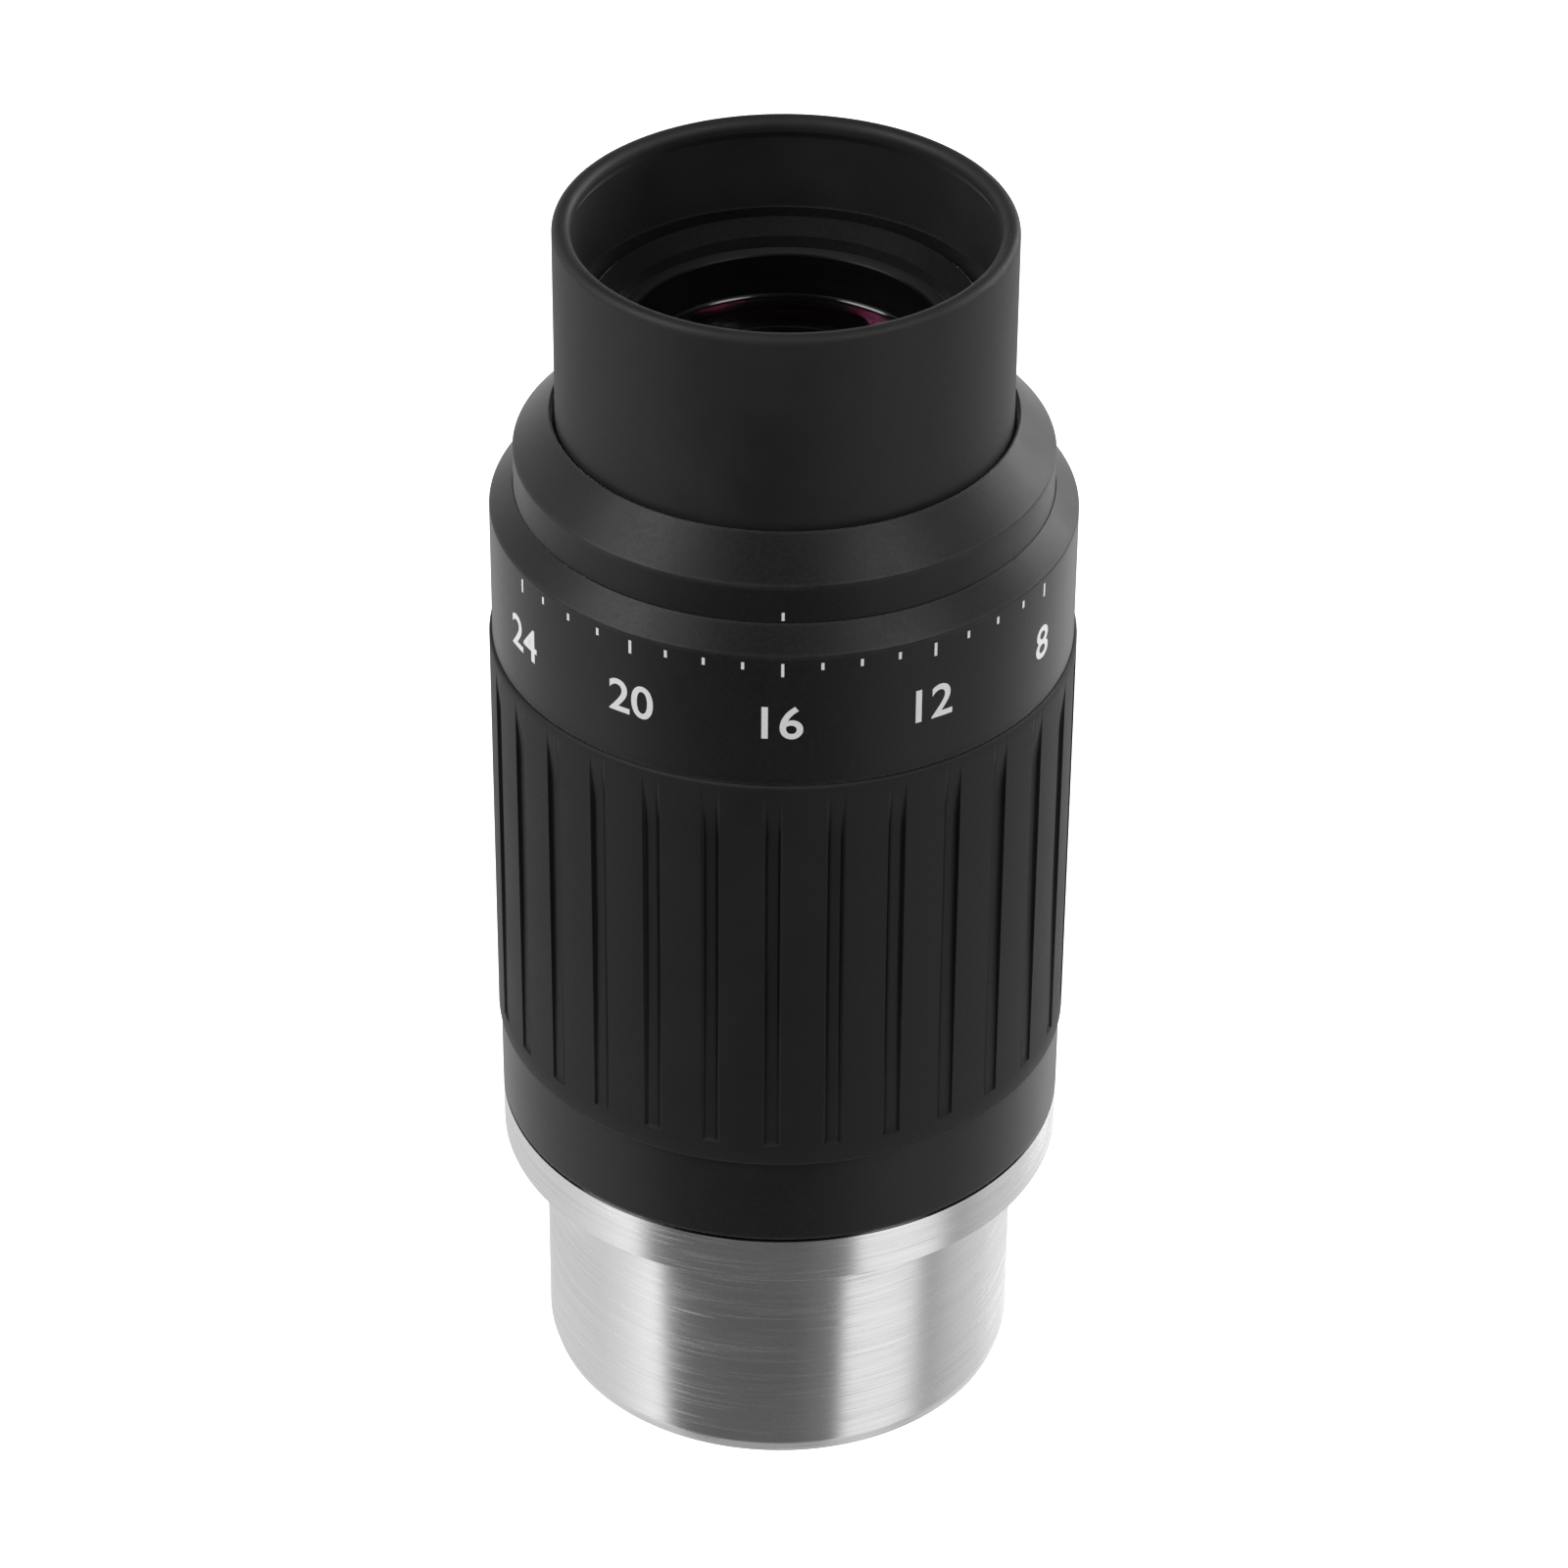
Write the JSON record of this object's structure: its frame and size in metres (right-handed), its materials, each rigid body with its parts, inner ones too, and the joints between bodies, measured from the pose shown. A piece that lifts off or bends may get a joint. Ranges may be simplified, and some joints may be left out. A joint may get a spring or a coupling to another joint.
{
  "type": "telescope eyepiece",
  "caption": "Zoom eyepiece for a telescope: bright push-fit nosepiece, turning black body with a ribbed rubber grip, moving lens groups inside and a twist-up rubber eyecup.",
  "frame": {"origin": "centre of the nosepiece's open end, on the optical axis", "axes": "+Z along the optical axis from the nosepiece to the eyecup; -Y is the side that the scale faces"},
  "size_m": [0.0604, 0.0604, 0.1375],
  "materials": {
    "bright_aluminium": "fine turned",
    "black_anodised": "bead blasted and anodised",
    "blackened_inner": "matt black",
    "grip_rubber": "matt",
    "eyecup_rubber": "soft matt",
    "lens_glass": "polished and coated",
    "steel": "black oxide",
    "brass": "turned",
    "white_plastic": "slippery plastic"
  },
  "bodies": {
    "base": {"nosepiece_barrel": "bright_aluminium", "base_flange": "bright_aluminium", "guide_tube": "blackened_inner", "guide_tube_screws": "steel", "lower_glide_washer": "white_plastic", "upper_glide_washer": "white_plastic", "head_tube": "blackened_inner", "head_set_screws": "steel", "shoulder_cap": "black_anodised", "cap_set_screws": "steel", "eye_lens_cell": "black_anodised", "eye_lens_retaining_ring": "blackened_inner", "eye_lens_front": "lens_glass", "eye_lens_spacer": "blackened_inner", "eye_doublet_crown": "lens_glass", "eye_doublet_flint": "lens_glass", "eyecup_guide_pins": "steel"},
    "zoom_ring": {"zoom_ring": "black_anodised", "grip_rubber": "grip_rubber", "cam_sleeve": "blackened_inner", "drive_screws": "steel"},
    "middle_group": {"middle_carriage": "blackened_inner", "middle_guide_pins": "steel", "middle_pin_rollers": "brass", "middle_flint_lens": "lens_glass", "middle_crown_lens": "lens_glass", "middle_lens_retaining_ring": "blackened_inner"},
    "field_group": {"field_carriage": "blackened_inner", "field_guide_pins": "steel", "field_pin_rollers": "brass", "field_lens_positive": "lens_glass", "field_lens_negative": "lens_glass", "field_lens_retaining_ring": "blackened_inner", "field_stop": "blackened_inner"},
    "eyecup_glide": {"eyecup_glide_ring": "white_plastic"},
    "eyecup": {"eyecup_sleeve": "black_anodised", "eyecup_rubber": "eyecup_rubber"}
  },
  "joints": [
    {"name": "zoom_turn", "type": "hinge", "parent": "base", "child": "zoom_ring", "pos_m": [0, 0, 0.0615], "axis": [0, 0, 1], "range_deg": [-60, 60]},
    {"name": "middle_slide", "type": "slide", "parent": "base", "child": "middle_group", "axis": [0, 0, 1], "range_m": [-0.006, 0.006]},
    {"name": "field_slide", "type": "slide", "parent": "base", "child": "field_group", "axis": [0, 0, 1], "range_m": [-0.005, 0.005]},
    {"name": "eyecup_lift", "type": "slide", "parent": "base", "child": "eyecup_glide", "axis": [0, 0, 1], "range_m": [-0.01, 0]},
    {"name": "eyecup_twist", "type": "hinge", "parent": "eyecup_glide", "child": "eyecup", "pos_m": [0, 0, 0.117], "axis": [0, 0, 1], "range_deg": [-120, 0]}
  ],
  "couplings": [
    {"joint": "middle_slide", "follows": "zoom_turn", "m_per_rad": 0.005729},
    {"joint": "field_slide", "follows": "zoom_turn", "m_per_rad": -0.004774},
    {"joint": "eyecup_lift", "follows": "eyecup_twist", "m_per_rad": 0.004774}
  ]
}
